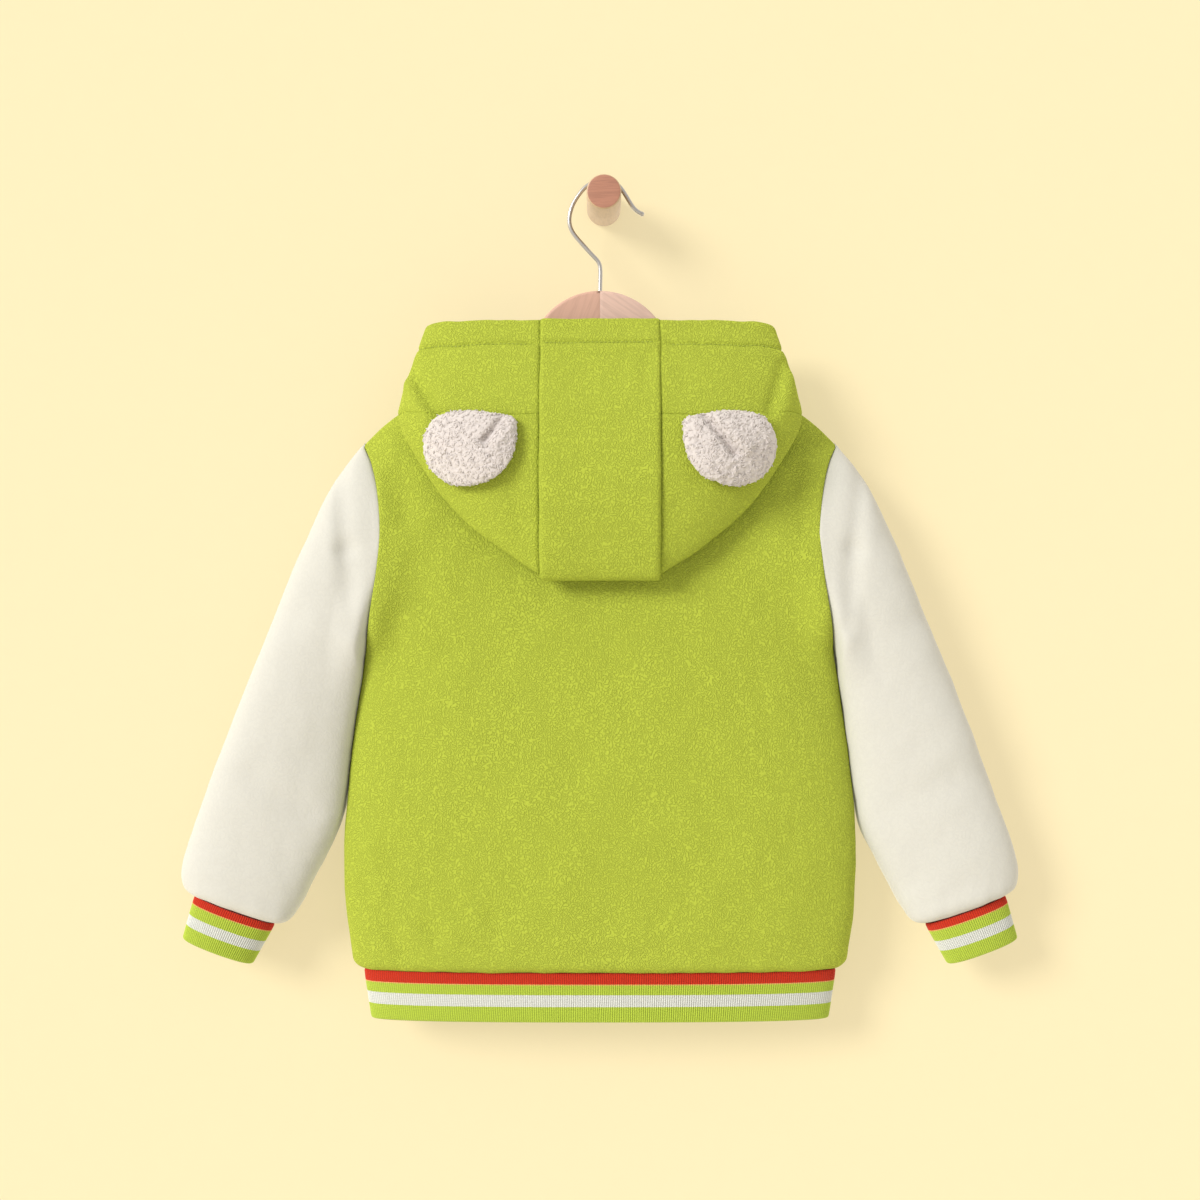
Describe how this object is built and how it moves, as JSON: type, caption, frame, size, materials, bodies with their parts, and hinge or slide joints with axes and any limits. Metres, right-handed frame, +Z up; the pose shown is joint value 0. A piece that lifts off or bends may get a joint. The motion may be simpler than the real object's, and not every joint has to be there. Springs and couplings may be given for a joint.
{
  "type": "hooded bomber jacket on a wooden hanger, hung on a wall peg",
  "caption": "Child's fleece bomber jacket with an eared hood and striped rib hem and cuffs, hung by its hanger's hook on a round wall peg.",
  "frame": {"origin": "centre of the wall peg's flat back face, where it is fixed to the wall", "axes": "+Z up, +Y into the wall; the jacket's back faces -Y and the wearer's right side is at +X"},
  "size_m": [0.6562, 0.1113, 0.6592],
  "materials": {
    "lime_fleece": "matte brushed fleece",
    "cream_fleece": "matte brushed fleece",
    "sherpa": "curly sherpa pile",
    "striped_rib": "knitted rib with red, green, white and green stripes",
    "zip_plastic": "moulded, satin",
    "hanger_wood": "pale beech, satin lacquer",
    "peg_wood": "turned beech, satin lacquer",
    "hook_steel": "polished steel wire"
  },
  "bodies": {
    "jacket": {"back": "lime_fleece", "front_left": "lime_fleece", "front_right": "lime_fleece", "sleeve_left": "cream_fleece", "sleeve_right": "cream_fleece", "cuff_left": "striped_rib", "cuff_right": "striped_rib", "hem_band": "striped_rib", "hood_centre": "lime_fleece", "hood_side_back_left": "lime_fleece", "hood_side_back_right": "lime_fleece", "hood_side_front_left": "lime_fleece", "hood_side_front_right": "lime_fleece", "ear_left": "sherpa", "ear_right": "sherpa", "zip_left": "zip_plastic", "zip_right": "zip_plastic", "zip_slider": "zip_plastic", "hanger": "hanger_wood", "hanger_hook": "hook_steel", "wall_peg": "peg_wood"},
    "zip_pull": {"zip_pull": "zip_plastic"}
  },
  "joints": [
    {"name": "zip_pull_swing", "type": "hinge", "parent": "jacket", "child": "zip_pull", "pos_m": [-0.003, -0.00971, -0.217], "axis": [1, 0, 0], "range_deg": [0, 25]}
  ]
}
